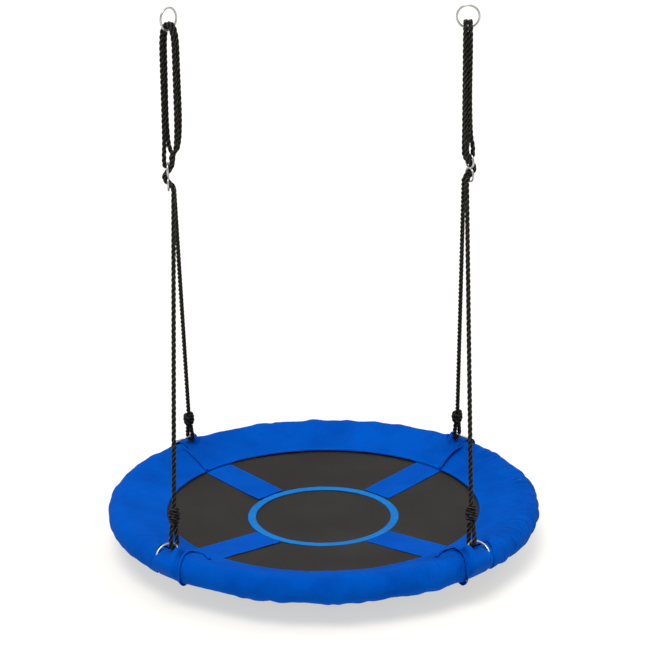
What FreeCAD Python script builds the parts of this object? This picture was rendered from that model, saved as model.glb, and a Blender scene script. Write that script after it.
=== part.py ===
# Saucer nest swing: a padded steel hoop with a mesh seat, hung on two adjustable ropes.
# The origin is the middle of the line between the two top rings' centres, +Z is up,
# +X runs from the left ring to the right ring and -Y is the front.
import FreeCAD, Part
import math
import os
import Sketcher
from FreeCAD import Placement, Rotation, Vector

os.makedirs("parts", exist_ok=True)
doc = FreeCAD.newDocument("saucer_nest_swing")

# --- driving dimensions, in millimetres and degrees ------------------------------------

SIZES = {
    "ring_spacing": 660.0,  # between the two top rings, and between the rope eyes
    "hang_drop": 1158.0,  # from the top rings' centres down to the hoop's centre plane
    "ring_radius": 25.0,  # steel rings, to the middle of the wire
    "ring_wire": 2.5,
    "left_ring_turn": 50.0,
    "rope_radius": 5.5,
    "bight_radius": 19.0,  # the rope's turn over a top ring
    "bight_lift": 14.0,  # the rope's middle above the ring's wire at the top of that turn
    "bight_foot": 50.0,  # how far below the ring's wire the turn's two legs end
    "rope_gap": 11.4,  # between two ropes that lie side by side
    "eight_radius": 15.7,  # one ring of the figure-eight adjuster
    "eight_wire": 2.25,
    "left_eight_drop": 359.0,
    "left_eight_out": 11.0,  # outwards from the top ring's middle
    "right_eight_drop": 344.0,
    "right_eight_out": 6.5,
    "eye_lift": 46.0,  # the rim ring's upper wire above the hoop's centre plane
    "eye_turn": 9.9,
    "eye_length": 42.0,
    "knot_radius": 13.0,
    "knot_length": 38.0,
    "rim_radius": 475.0,
    "foam_radius": 25.0,
    "foam_bore": 16.4,
    "foam_sweep": 89.8,
    "tube_radius": 14.0,
    "tube_bore": 12.5,
    "sleeve_radius": 12.4,
    "sleeve_bore": 10.9,
    "sleeve_sweep": 14.4,
    "screw_radius": 3.0,
    "screw_length": 28.0,
    "screw_head_radius": 5.0,
    "screw_head_height": 1.5,
    "drill_radius": 3.2,
    "rim_ring_out": 42.0,  # from the rim ring's upper wire to its lower one, outwards
    "ring_slack": 2.6,  # between that wire and the webbing over it
    "loop_width": 30.0,
    "loop_thickness": 2.0,
    "base_depth": 60.0,  # the saucer's profiles are drawn from this far below the rim
    "mat_radius": 446.0,
    "mat_edge": 53.0,
    "cover_inner": 366.0,
    "mat_fold": 47.0,
    "trim_outer": 177.5,
    "trim_inner": 158.5,
    "mat_trim": 30.0,
    "mat_centre": 24.0,
    "mat_thickness": 2.4,
    "trim_thickness": 1.8,
    "strap_width": 80.0,
    "strap_thickness": 1.6,
    "lay_gap": 1.0,  # between a band and what it lies on
    "cuff_gap": 0.3,  # between the foam and the cuff over it
    "cuff_thickness": 0.8,
    "cuff_sweep": 30.0,
    "cover_thickness": 1.2,
    "cover_gap": 0.4,  # between a cuff and the cover over it
    "slot_inner": 437.0,
    "slot_near": 36.0,  # from the corner's diagonal to the front or rear side of the slot
    "slot_far": 58.0,  # from the diagonal to the other side of it
    "slot_skew": 30.0,  # how far the slot's sides lean away from the diagonal
}

sheet = doc.addObject("Spreadsheet::Sheet", "Sizes")
for row, (alias, value) in enumerate(SIZES.items(), start=1):
    sheet.set(f"A{row}", alias)
    sheet.set(f"B{row}", str(value))
    sheet.setAlias(f"B{row}", alias)
doc.recompute()


def size(alias):
    return float(sheet.get(alias))


HALF_SPAN = size("ring_spacing") / 2
RIM_Z = -size("hang_drop")
WIRE_Z = -size("ring_radius")  # the middle of a top ring's lowest wire
ROPE = size("rope_radius")
BASE_Z = RIM_Z - size("base_depth")
SIDES = {"left": -1, "right": 1}
ENDS = {"front": -1, "rear": 1}
QUARTERS = {"right": -45, "rear": 45, "left": 135, "front": 225}
UP = Vector(0, 0, 1)

parts = []
drawn = {}


def keep(thing, label):
    """Names a finished sub-part, so that it is written to its own file."""
    thing.Label = label
    parts.append(thing)
    return thing


def bound(kind, name, **sizes):
    """A Part primitive whose sizes are bound to the spreadsheet."""
    thing = doc.addObject(kind, name)
    for prop, expression in sizes.items():
        thing.setExpression(prop, expression)
    return thing


def torus(name, ring, wire, sweep=None):
    thing = bound("Part::Torus", name, Radius1=ring, Radius2=wire)
    if sweep:
        thing.setExpression("Angle3", sweep)
    return thing


def cut(name, base, *tools):
    for count, tool in enumerate(tools):
        result = doc.addObject("Part::Cut", f"{name}_cut_{count}")
        result.Base = base
        result.Tool = tool
        base = result
    return base


def fuse(name, things):
    result = doc.addObject("Part::MultiFuse", name)
    result.Shapes = things
    return result


def feature(label, shape):
    """A sub-part whose shape no primitive or sketched feature gives."""
    thing = doc.addObject("Part::Feature", label)
    thing.Shape = shape
    return keep(thing, label)


# --- ropes: straight runs joined by tangent arcs ---------------------------------------


def corner_arc(before, corner, after, radius=None):
    """The arc that rounds a corner, of the given radius or as large as its runs allow."""
    towards = (before - corner).normalize()
    onward = (after - corner).normalize()
    half_turn = (math.pi - towards.getAngle(onward)) / 2
    if radius is None:
        shorter = min((before - corner).Length, (after - corner).Length)
        radius = 0.45 * shorter / math.tan(half_turn)
    reach = radius * math.tan(half_turn)
    middle = (towards + onward).normalize()
    inset = radius / math.cos(half_turn) - radius
    arc = Part.Arc(corner + towards * reach, corner + middle * inset, corner + onward * reach)
    return arc.toShape(), corner + towards * reach, corner + onward * reach, radius


def rope_path(points, radii):
    """radii gives a corner its hardware's size, or None for the largest arc."""
    edges = []
    made = []
    start = points[0]
    for index in range(1, len(points) - 1):
        arc, enter, leave, radius = corner_arc(*points[index - 1 : index + 2], radii[index - 1])
        if (enter - start).Length > 0.01:
            edges.append(Part.LineSegment(start, enter).toShape())
        edges.append(arc)
        made.append(round(radius, 1))
        start = leave
    edges.append(Part.LineSegment(start, points[-1]).toShape())
    return Part.Wire(edges), made


def rope(name, points, radii=None):
    """A round tube along the route, with its volume compared with section times length."""
    path, made = rope_path(points, radii or [None] * (len(points) - 2))
    heading = (points[1] - points[0]).normalize()
    section = Part.Wire(Part.makeCircle(ROPE, points[0], heading))
    tube = path.makePipeShell([section], True, False)
    ratio = tube.Volume / (math.pi * ROPE**2 * path.Length)
    print(f"{name}: length {path.Length:.1f}, arcs {made}, volume ratio {ratio:.4f}")
    if abs(ratio - 1) > 0.01:
        raise ValueError(f"{name}: the tube's volume is wrong")
    return tube


def upright_frame(turn):
    """The two level directions of a piece that is turned about the vertical."""
    angle = math.radians(turn)
    return Vector(math.cos(angle), math.sin(angle), 0), Vector(-math.sin(angle), math.cos(angle), 0)


def top_rings_and_bights():
    """Each side's hook ring, and the rope's two turns over its lowest wire."""
    for side, sign in SIDES.items():
        turn = size("left_ring_turn") if side == "left" else 0.0
        ring = torus(f"top_ring_{side}", "Sizes.ring_radius", "Sizes.ring_wire")
        stand = Rotation(UP, turn) * Rotation(Vector(1, 0, 0), 90)
        ring.Placement = Placement(Vector(sign * HALF_SPAN, 0, 0), stand)
        keep(ring, f"top_ring_{side}")

        along, across = upright_frame(turn)
        spread = size("bight_radius")
        top = WIRE_Z + size("bight_lift")
        foot = WIRE_Z - size("bight_foot")
        turns = []
        for offset in (-1, 1):
            middle = Vector(sign * HALF_SPAN, 0, 0) + along * (offset * size("rope_gap") / 2)
            front = middle - across * spread
            rear = middle + across * spread
            route = [front + UP * foot, front + UP * top, rear + UP * top, rear + UP * foot]
            turns.append(rope(f"bight {side} {offset}", route, [spread, spread]))
            drawn[side, "front", offset] = front + UP * foot
            drawn[side, "rear", offset] = rear + UP * foot
        feature(f"rope_bights_{side}", Part.makeCompound(turns))


# Which turn over the top ring, and which side of it, each rope above the adjuster joins.
FALLS = {
    "left": {
        "from_front_leg": ("front", -1),
        "to_adjuster": ("rear", -1),
        "from_adjuster": ("front", 1),
        "to_rear_leg": ("rear", 1),
    },
    "right": {
        "from_front_leg": ("front", -1),
        "to_adjuster": ("rear", 1),
        "from_adjuster": ("front", 1),
        "to_rear_leg": ("rear", -1),
    },
}
EIGHT_TURN = {"left": 0.0, "right": 210.0}  # where the adjuster's roped side faces
WEAVE_OUT = 11.5  # how far the ropes stand off the adjuster's plane above and below it
WEAVE_RISE = 23.0
WEAVE_END = 40.0
WEAVE_GAP = 6.9
BAR_TURN = 8.1  # the rope's turn round the adjuster's wire
BOW_RISE = 75.0  # above the adjuster's middle, where the ropes turn in towards it
BOW_PULL = 0.3  # how far they have closed in by there
FALL_END = 10.0  # each rope's upright stretch where it meets the next one


def eight_middle(side):
    """The middle of a figure-eight adjuster."""
    reach = HALF_SPAN + size(f"{side}_eight_out")
    return Vector(SIDES[side] * reach, 0, -size(f"{side}_eight_drop"))


def adjusters():
    """The figure-eight steel adjusters, and the rope that is woven through each."""
    for side, sign in SIDES.items():
        out, across = upright_frame(EIGHT_TURN[side])
        middle = eight_middle(side)
        lobes = []
        for offset in (-1, 1):
            lobe = torus(f"eight_{side}_{offset}", "Sizes.eight_radius", "Sizes.eight_wire")
            stand = Rotation(UP, EIGHT_TURN[side]) * Rotation(Vector(0, 1, 0), 90)
            lobe.Placement = Placement(middle + UP * (offset * size("eight_radius")), stand)
            # Both lobes end flat at the level where they are welded.
            beyond = bound(
                "Part::Cylinder",
                f"beyond_{side}_{offset}",
                Radius="2 * Sizes.eight_radius",
                Height="2 * Sizes.eight_wire",
            )
            level = middle if offset < 0 else middle - UP * (2 * size("eight_wire"))
            beyond.Placement = Placement(level, Rotation())
            lobes.append(cut(f"lobe_{side}_{offset}", lobe, beyond))
        keep(fuse(f"eight_{side}", lobes), f"adjuster_{side}")

        woven = []
        for end, way in ENDS.items():
            # The front leg's rope is on the front side, whichever way the adjuster faces.
            shift = middle + across * math.copysign(WEAVE_GAP, way * across.y)
            foot = Vector(sign * HALF_SPAN, way * HALF_SPAN, RIM_Z + size("eye_lift"))
            low = shift + out * WEAVE_OUT - UP * WEAVE_RISE
            high = shift + out * WEAVE_OUT + UP * WEAVE_RISE
            # The route's corner behind the middle bar, where both its tangents meet.
            reach = math.hypot(WEAVE_OUT, WEAVE_RISE)
            lean = math.atan2(WEAVE_OUT, WEAVE_RISE) + math.asin(BAR_TURN / reach)
            behind = shift - out * (BAR_TURN / math.cos(lean))
            leg_end = low + (foot - low).normalize() * (WEAVE_END - WEAVE_RISE)
            drawn[side, end, "leg"] = leg_end
            drawn[side, end, "fall"] = high + UP * (WEAVE_END - WEAVE_RISE)
            route = [leg_end, low, behind, high, drawn[side, end, "fall"]]
            woven.append(rope(f"weave {side} {end}", route, [None, BAR_TURN, None]))
        hook = middle + UP * (2 * size("eight_radius"))
        tops = [hook + out * (way * BAR_TURN) for way in (-1, 1)]
        drawn[side, "to_adjuster"] = tops[0] + UP * (WEAVE_END - 2 * size("eight_radius"))
        drawn[side, "from_adjuster"] = tops[1] + UP * (WEAVE_END - 2 * size("eight_radius"))
        route = [
            drawn[side, "to_adjuster"],
            tops[0] - UP * BAR_TURN,
            tops[1] - UP * BAR_TURN,
            drawn[side, "from_adjuster"],
        ]
        woven.append(rope(f"hook {side}", route, [BAR_TURN, BAR_TURN]))
        feature(f"rope_weave_{side}", Part.makeCompound(woven))


def falls():
    """The four ropes between each top ring and its adjuster."""
    for side in SIDES:
        middle = eight_middle(side)
        strands = []
        for name, (place, offset) in FALLS[side].items():
            top = drawn[side, place, offset]
            foot = {
                "from_front_leg": drawn[side, "front", "fall"],
                "to_rear_leg": drawn[side, "rear", "fall"],
            }.get(name) or drawn[side, name]
            bow = top + (foot - top) * BOW_PULL
            bow.z = middle.z + BOW_RISE
            route = [top, top - UP * FALL_END, bow, foot + UP * FALL_END, foot]
            strands.append(rope(f"fall {side} {name}", route))
        feature(f"rope_falls_{side}", Part.makeCompound(strands))


def legs():
    """The ropes down to the rim, each ending in a knot and an eye round its rim ring."""
    for side, sign in SIDES.items():
        for end, way in ENDS.items():
            wire = Vector(sign * HALF_SPAN, way * HALF_SPAN, RIM_Z + size("eye_lift"))
            top = drawn[side, end, "leg"]
            heading = (top - wire).normalize()
            along_wire = Vector(-sign * way, 1, 0).normalize()
            flat = heading.cross(along_wire).normalize()
            turn = size("eye_turn")
            length = size("eye_length")
            neck = ROPE + 0.6
            route = [
                wire + flat * -neck + heading * length,
                wire + flat * -neck + heading * (length - 8),
                wire + flat * -(turn + 1.4) + heading * -turn,
                wire + flat * (turn + 1.4) + heading * -turn,
                wire + flat * neck + heading * (length - 8),
                wire + flat * neck + heading * length,
            ]
            name = f"{end}_{side}"
            feature(f"rope_eye_{name}", rope(f"eye {name}", route, [None, turn, turn, None]))

            knot = bound(
                "Part::Cylinder",
                f"knot_core_{name}",
                Radius="Sizes.knot_radius",
                Height="Sizes.knot_length",
            )
            knot.Placement = Placement(wire + heading * length, Rotation(UP, heading))
            doc.recompute()
            rounded = doc.addObject("Part::Fillet", f"knot_{name}")
            rounded.Base = knot
            rims = [i for i, edge in enumerate(knot.Shape.Edges, start=1) if edge.isClosed()]
            rounded.Edges = [(i, 1.5, 1.5) for i in rims]
            keep(rounded, f"rope_knot_{name}")

            foot = wire + heading * (length + size("knot_length"))
            feature(f"rope_leg_{name}", rope(f"leg {name}", [top, foot]))


# --- the hoop --------------------------------------------------------------------------


def round_rim(angle):
    """A placement at the hoop's centre, turned about the vertical."""
    return Placement(Vector(0, 0, RIM_Z), Rotation(UP, angle))


def corners():
    """Each corner's name, and the level direction from the hoop's middle to it."""
    for side, sign in SIDES.items():
        for end, way in ENDS.items():
            yield f"{end}_{side}", math.degrees(math.atan2(way, sign))


def hollow_arc(name, outer, bore, sweep, begin):
    """A stretch of the hoop with a round bore, swept from the angle where it begins."""
    solid = torus(f"{name}_solid", "Sizes.rim_radius", f"Sizes.{outer}", sweep)
    hollow = torus(f"{name}_bore", "Sizes.rim_radius", f"Sizes.{bore}")
    solid.Placement = hollow.Placement = round_rim(begin)
    return cut(name, solid, hollow)


def drill_at(angle):
    """The cylinder that drills one joint screw's holes, down through the hoop."""
    drill = bound("Part::Cylinder", "drill", Radius="Sizes.drill_radius")
    drill.setExpression("Height", "2 * Sizes.foam_radius")
    arm = Placement(Vector(size("rim_radius"), 0, -size("foam_radius")), Rotation())
    drill.Placement = round_rim(angle) * arm
    return drill


def joint_screw(angle):
    """A pan-headed screw down through a tube's end and the sleeve inside it."""
    shank = bound("Part::Cylinder", "shank", Radius="Sizes.screw_radius")
    shank.setExpression("Height", "Sizes.screw_length")
    head = bound("Part::Cylinder", "head", Radius="Sizes.screw_head_radius")
    head.setExpression("Height", "Sizes.screw_head_height")
    radius = size("rim_radius")
    low = -size("screw_length") / 2
    shank.Placement = round_rim(angle) * Placement(Vector(radius, 0, low), Rotation())
    head.Placement = round_rim(angle) * Placement(Vector(radius, 0, -low), Rotation())
    return fuse("screw", [shank, head])


def hoop():
    """Four steel tubes, the sleeves and screws that join them, and the foam round them."""
    screws = []
    for quarter, start in QUARTERS.items():
        joint = start + 45
        offset = size("sleeve_sweep") / 4
        tube = hollow_arc("tube", "tube_radius", "tube_bore", "90", joint)
        tube = cut("drilled_tube", tube, drill_at(joint + offset), drill_at(joint + 90 - offset))
        keep(tube, f"frame_tube_{quarter}")

        begin = joint - size("sleeve_sweep") / 2
        sleeve = hollow_arc("sleeve", "sleeve_radius", "sleeve_bore", "Sizes.sleeve_sweep", begin)
        sleeve = cut("drilled_sleeve", sleeve, drill_at(joint - offset), drill_at(joint + offset))
        keep(sleeve, f"joint_sleeve_{quarter}")
        screws += [joint_screw(joint - offset), joint_screw(joint + offset)]

        begin = start + (90 - size("foam_sweep")) / 2
        foam = hollow_arc("padding", "foam_radius", "foam_bore", "Sizes.foam_sweep", begin)
        keep(foam, f"foam_{quarter}")
    group = doc.addObject("Part::Compound", "screws")
    group.Links = screws
    keep(group, "joint_screws")


def profile(label, points):
    """A body that turns a closed outline about the vertical. Its points are expressions."""
    body = doc.addObject("PartDesign::Body", label)
    body.Placement = Placement(Vector(0, 0, BASE_Z), Rotation(UP, 45))
    sketch = body.newObject("Sketcher::SketchObject", f"{label}_outline")
    plane = next(f for f in body.Origin.OriginFeatures if f.Role == "XZ_Plane")
    sketch.AttachmentSupport = [(plane, "")]
    sketch.MapMode = "FlatFace"
    names = [(f"x{index}", f"z{index}") for index in range(len(points))]
    start = [Vector(*[evaluate(term) for term in point], 0) for point in points]
    for index, here in enumerate(start):
        sketch.addGeometry(Part.LineSegment(here, start[(index + 1) % len(start)]))
    for index, ((across, height), point) in enumerate(zip(names, points)):
        after = (index + 1) % len(points)
        sketch.addConstraint(Sketcher.Constraint("Coincident", index, 2, after, 1))
        if point[0] == "0":
            sketch.addConstraint(Sketcher.Constraint("PointOnObject", index, 1, -2))
        else:
            number = sketch.addConstraint(
                Sketcher.Constraint("DistanceX", -1, 1, index, 1, start[index].x)
            )
            sketch.renameConstraint(number, across)
            sketch.setExpression(f"Constraints.{across}", spelt(point[0]))
        number = sketch.addConstraint(
            Sketcher.Constraint("DistanceY", -1, 1, index, 1, start[index].y)
        )
        sketch.renameConstraint(number, height)
        sketch.setExpression(f"Constraints.{height}", spelt(point[1]))
    turn = body.newObject("PartDesign::Revolution", f"{label}_turn")
    turn.Profile = sketch
    turn.ReferenceAxis = (sketch, ["V_Axis"])
    turn.Angle = 360.0
    body.Tip = turn
    doc.recompute()
    return body


def spelt(term):
    """An expression whose words are cells of the spreadsheet."""
    return " ".join(f"Sizes.{word}" if word[0].isalpha() else word for word in term.split())


def evaluate(term):
    """The value of a sum or difference of cells and numbers."""
    total = 0.0
    sign = 1
    for word in term.split():
        if word in "+-":
            sign = 1 if word == "+" else -1
        else:
            total += sign * (size(word) if word[0].isalpha() else float(word))
    return total


def seat():
    """The dished mesh mat, with the round trim sewn on its middle."""
    top = [
        ("0", "mat_centre"),
        ("trim_outer", "mat_trim"),
        ("cover_inner", "mat_fold"),
        ("mat_radius", "mat_edge"),
    ]
    under = [(across, f"{height} - mat_thickness") for across, height in reversed(top)]
    keep(profile("mat", top + under), "mat")

    rise = "mat_trim + lay_gap"
    trim = [
        ("trim_inner", f"{rise} - 0.3"),
        ("trim_outer", rise),
        ("trim_outer", f"{rise} + trim_thickness"),
        ("trim_inner", f"{rise} - 0.3 + trim_thickness"),
    ]
    keep(profile("trim", trim), "centre_trim")


def cuffs():
    """The cloth round the foam at each corner, which shows in the cover's slots."""
    inside = size("foam_radius") + size("cuff_gap")
    for name, angle in corners():
        layers = []
        for layer, radius in (("outer", inside + size("cuff_thickness")), ("inner", inside)):
            tube = torus(f"cuff_{layer}_{name}", "Sizes.rim_radius", str(radius), "Sizes.cuff_sweep")
            tube.Placement = round_rim(angle - size("cuff_sweep") / 2)
            layers.append(tube)
        keep(cut(f"cuff_{name}", *layers), f"cuff_{name}")


def slot_outline(mirror):
    """A slot's plan, drawn with its corner's diagonal along X, out past the rim."""
    lean = math.tan(math.radians(size("slot_skew")))
    begin = size("slot_inner")
    end = size("rim_radius") + 2 * size("foam_radius")
    points = []
    for x, y in ((begin, "slot_near"), (end, "slot_near"), (end, "slot_far"), (begin, "slot_far")):
        side = size(y) * (1 if y == "slot_near" else -1)
        points.append(Vector(x, mirror * (side + lean * (x - size("rim_radius"))), 0))
    return Part.makePolygon(points + points[:1])


def cover():
    """The sleeve round the foam, with four slots where the rings' webbing comes out."""
    rim = size("rim_radius")
    skin = size("cover_thickness")
    inside = size("foam_radius") + size("cuff_gap") + size("cuff_thickness") + size("cover_gap")
    edge = Vector(size("cover_inner"), 0, RIM_Z - size("base_depth") + size("mat_fold"))
    hub = Vector(rim, 0, RIM_Z)

    def outline(radius, top_lift, under_drop):
        """The line from the inner edge over the foam and back under the mat."""
        upper = edge + UP * top_lift
        lower = edge - UP * under_drop
        touches = []
        for point, way in ((upper, 1), (lower, -1)):
            arm = point - hub
            lean = math.atan2(arm.z, arm.x) % (2 * math.pi)
            lean -= way * math.acos(radius / arm.Length)
            touches.append(hub + Vector(math.cos(lean), 0, math.sin(lean)) * radius)
        far = hub + Vector(radius, 0, 0)
        return [
            Part.LineSegment(upper, touches[0]).toShape(),
            Part.Arc(touches[0], far, touches[1]).toShape(),
            Part.LineSegment(touches[1], lower).toShape(),
        ], upper, lower

    mat = size("mat_thickness")
    gap = size("lay_gap") + size("strap_thickness") + size("lay_gap")
    inner, inner_top, inner_low = outline(inside, gap, mat + size("lay_gap"))
    outer, outer_top, outer_low = outline(inside + skin, gap + skin, mat + size("lay_gap") + skin)
    ends = [
        Part.LineSegment(outer_top, inner_top).toShape(),
        Part.LineSegment(inner_low, outer_low).toShape(),
    ]
    outline_wire = Part.Wire(Part.__sortEdges__(inner + outer + ends))
    sleeve = Part.Face(outline_wire).revolve(Vector(0, 0, 0), UP, 360)
    for name, angle in corners():
        # Every slot leans towards the front or rear of the saucer as it goes outwards.
        mirror = 1 if name in ("rear_right", "front_left") else -1
        plan = Part.Face(slot_outline(mirror))
        plan.translate(Vector(0, 0, -2 * inside))
        notch = plan.extrude(Vector(0, 0, 4 * inside))
        upright = [edge for edge in notch.Edges if edge.tangentAt(edge.FirstParameter).z ** 2 > 0.9]
        inner = [edge for edge in upright if edge.Vertexes[0].X < size("slot_inner") + 1]
        notch = notch.makeFillet(8, inner)
        notch.Placement = round_rim(angle)
        sleeve = sleeve.cut(notch)
    feature("cover", sleeve)


# --- webbing and rim rings -------------------------------------------------------------


def mat_height(radius):
    """The mat's top above the profiles' base at a distance from its middle."""
    stops = [
        (0.0, size("mat_centre")),
        (size("trim_outer"), size("mat_trim")),
        (size("cover_inner"), size("mat_fold")),
        (size("mat_radius"), size("mat_edge")),
    ]
    for (near, low), (far, high) in zip(stops, stops[1:]):
        if radius <= far:
            return low + (high - low) * (radius - near) / (far - near)
    return stops[-1][1]


def band(outline, width):
    """A strip of webbing from its side view, which is drawn in the XZ plane."""
    face = Part.Face(outline)
    face.translate(Vector(0, -width / 2, 0))
    return face.extrude(Vector(0, width, 0))


def straps():
    """The four broad straps from the trim to the rim, on top of the mat."""
    gap = size("lay_gap")
    thick = size("strap_thickness")
    stops = [size("trim_outer") + 1.5, size("cover_inner"), size("mat_radius") - 4]
    low = [Vector(r, 0, mat_height(r) + gap - size("base_depth")) for r in stops]
    high = [point + UP * thick for point in reversed(low)]
    strip = band(Part.makePolygon(low + high + low[:1]), size("strap_width"))
    for name, angle in corners():
        feature(f"strap_{name}", strip.copy()).Placement = round_rim(angle)


def loop_outline(side, hub, foam, wire_hub, wire, ends):
    """One face of the webbing round the foam and the rim ring's lower wire."""
    foam += side
    wire += side
    arm = wire_hub - hub
    middle = math.atan2(arm.z, arm.x)
    spread = math.acos((foam - wire) / arm.Length)

    def on(centre, radius, angle):
        return centre + Vector(math.cos(angle), 0, math.sin(angle)) * radius

    def leaving(end, way):
        """The angle on the foam where the run to the webbing's end leaves it."""
        out = end - hub
        return math.atan2(out.z, out.x) % (2 * math.pi) - way * math.acos(foam / out.Length)

    starts = leaving(ends[0], 1)
    stops = leaving(ends[1], -1) - 2 * math.pi
    first, last = middle + spread, middle - spread

    def arc(centre, radius, begin, finish):
        marks = [on(centre, radius, a) for a in (begin, (begin + finish) / 2, finish)]
        return Part.Arc(*marks).toShape()

    upper = ends[0]
    lower = ends[1]
    return [
        Part.LineSegment(upper, on(hub, foam, starts)).toShape(),
        arc(hub, foam, starts, first),
        Part.LineSegment(on(hub, foam, first), on(wire_hub, wire, first)).toShape(),
        arc(wire_hub, wire, first, last),
        Part.LineSegment(on(wire_hub, wire, last), on(hub, foam, last)).toShape(),
        arc(hub, foam, last, stops),
        Part.LineSegment(on(hub, foam, stops), lower).toShape(),
    ]


def rim_rings():
    """The steel rings that lean on the rim, and the webbing that holds each."""
    out = HALF_SPAN * math.sqrt(2)
    upper_wire = Vector(out, 0, size("eye_lift"))
    drop = math.sqrt((2 * size("ring_radius")) ** 2 - size("rim_ring_out") ** 2)
    lower_wire = upper_wire + Vector(size("rim_ring_out"), 0, -drop)
    lean = math.degrees(math.atan2(drop, size("rim_ring_out")))
    gap = size("lay_gap")
    half = size("loop_thickness") / 2
    foam = size("foam_radius") + size("cuff_gap") + size("cuff_thickness") + gap + half
    wire = size("ring_wire") + size("ring_slack") + half
    hub = Vector(size("rim_radius"), 0, 0)
    start = size("mat_radius") - 21
    over = mat_height(start) - size("base_depth") + gap + size("strap_thickness") + gap
    under = mat_height(start) - size("base_depth") - size("mat_thickness") - 3 * gap
    faces = []
    for side in (half, -half):
        ends = (Vector(start, 0, over + half + side), Vector(start, 0, under - half - side))
        faces.append(loop_outline(side, hub, foam, lower_wire, wire, ends))
    ties = [
        Part.LineSegment(faces[0][i].Vertexes[j].Point, faces[1][i].Vertexes[j].Point).toShape()
        for i, j in ((0, 0), (-1, 1))
    ]
    edges = Part.__sortEdges__(faces[0] + faces[1] + ties)
    strip = band(Part.Wire(edges), size("loop_width"))
    for name, angle in corners():
        feature(f"ring_loop_{name}", strip.copy()).Placement = round_rim(angle)
        ring = torus(f"rim_ring_{name}", "Sizes.ring_radius", "Sizes.ring_wire")
        tilt = Placement((upper_wire + lower_wire) / 2, Rotation(Vector(0, 1, 0), lean))
        ring.Placement = round_rim(angle) * tilt
        keep(ring, f"rim_ring_{name}")


top_rings_and_bights()
adjusters()
falls()
legs()
hoop()
seat()
cuffs()
cover()
straps()
rim_rings()
doc.recompute()

for thing in doc.Objects:
    if "Invalid" in thing.State or "Error" in thing.State:
        raise ValueError(f"{thing.Label} failed: {thing.State}")
for part in parts:
    if part.Shape.isNull() or not part.Shape.isValid() or not part.Shape.Solids:
        raise ValueError(f"{part.Label} has no valid shape")
for part in parts:
    part.Shape.exportStep(f"parts/{part.Label}.step")
print(len(parts), "parts written")
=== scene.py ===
"""Saucer nest swing: the looks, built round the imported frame."""

import math

import bmesh
import bpy
import numpy as np
from mathutils import Matrix, Vector, noise
from mathutils.bvhtree import BVHTree


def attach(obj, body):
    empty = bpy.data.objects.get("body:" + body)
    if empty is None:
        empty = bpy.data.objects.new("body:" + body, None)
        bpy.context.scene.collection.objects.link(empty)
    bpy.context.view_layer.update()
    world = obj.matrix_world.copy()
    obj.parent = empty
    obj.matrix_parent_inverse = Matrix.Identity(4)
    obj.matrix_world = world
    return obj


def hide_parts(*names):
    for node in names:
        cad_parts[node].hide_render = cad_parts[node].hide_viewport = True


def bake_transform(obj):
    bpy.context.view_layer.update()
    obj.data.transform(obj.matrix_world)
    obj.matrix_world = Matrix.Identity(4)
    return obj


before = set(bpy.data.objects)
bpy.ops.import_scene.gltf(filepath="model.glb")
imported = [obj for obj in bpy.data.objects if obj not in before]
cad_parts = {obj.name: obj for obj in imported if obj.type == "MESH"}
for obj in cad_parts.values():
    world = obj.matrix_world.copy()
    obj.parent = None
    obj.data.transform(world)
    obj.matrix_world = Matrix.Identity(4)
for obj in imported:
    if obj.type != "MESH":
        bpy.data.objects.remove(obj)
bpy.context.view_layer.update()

# The same sizes as the CAD's, in metres.
HALF_SPAN = 0.330
RIM_Z = -1.158
WIRE_Z = -0.025
EYE_LIFT = 0.046
ROPE = 0.0055
RIM = 0.475
FOAM = 0.025
SIDES = {"left": -1, "right": 1}
ENDS = {"front": -1, "rear": 1}
CORNERS = {
    "front_right": -45.0,
    "rear_right": 45.0,
    "rear_left": 135.0,
    "front_left": 225.0,
}
UP = Vector((0, 0, 1))
BODY = "saucer"


# --- camera ----------------------------------------------------------------------------


def set_camera():
    """The camera, at the place and with the turn fitted to the rim, the trim and the rope ends."""
    data = bpy.data.cameras.new("camera")
    data.lens = 134.76
    data.sensor_width = 36.0
    data.clip_end = 60.0
    cam = bpy.data.objects.new("camera", data)
    bpy.context.scene.collection.objects.link(cam)
    bpy.context.scene.camera = cam
    pitch, yaw, roll = math.radians(18.56), math.radians(-0.26), -0.0097
    ahead = Vector(
        (math.sin(yaw) * math.cos(pitch), math.cos(yaw) * math.cos(pitch), -math.sin(pitch))
    )
    right = ahead.cross(UP).normalized()
    up = right.cross(ahead)
    right, up = (
        right * math.cos(roll) + up * math.sin(roll),
        up * math.cos(roll) - right * math.sin(roll),
    )
    turn = Matrix((right, up, -ahead)).transposed().to_4x4()
    cam.matrix_world = Matrix.Translation((0.0323, -5.2921, 1.0634)) @ turn


set_camera()


# --- materials -------------------------------------------------------------------------


def add(tree, kind, settings=None, **inputs):
    """A shader node. An input is a value or another node's output."""
    node = tree.nodes.new(f"ShaderNode{kind}")
    for name, value in (settings or {}).items():
        setattr(node, name, value)
    for name, value in inputs.items():
        socket = node.inputs[int(name[1:]) if name[0] == "_" else name.replace("_", " ")]
        if isinstance(value, bpy.types.NodeSocket):
            tree.links.new(value, socket)
        else:
            socket.default_value = value
    return node


def maths(tree, operation, first, second=0.0, third=0.0):
    """What a maths node gives."""
    node = add(tree, "Math", {"operation": operation}, _0=first, _1=second, _2=third)
    return node.outputs[0]


def ramp(tree, value, *stops):
    """A colour ramp from (place, colour) pairs."""
    node = add(tree, "ValToRGB", Fac=value)
    bar = node.color_ramp
    while len(bar.elements) < len(stops):
        bar.elements.new(0.5)
    for element, (place, colour) in zip(bar.elements, stops):
        element.position = place
        element.color = (*colour, 1.0)
    return node.outputs["Color"]


def spread(tree, value, low, high):
    """Values from 0 to 1 laid out between two others."""
    return add(tree, "MapRange", Value=value, To_Min=low, To_Max=high).outputs[0]


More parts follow.
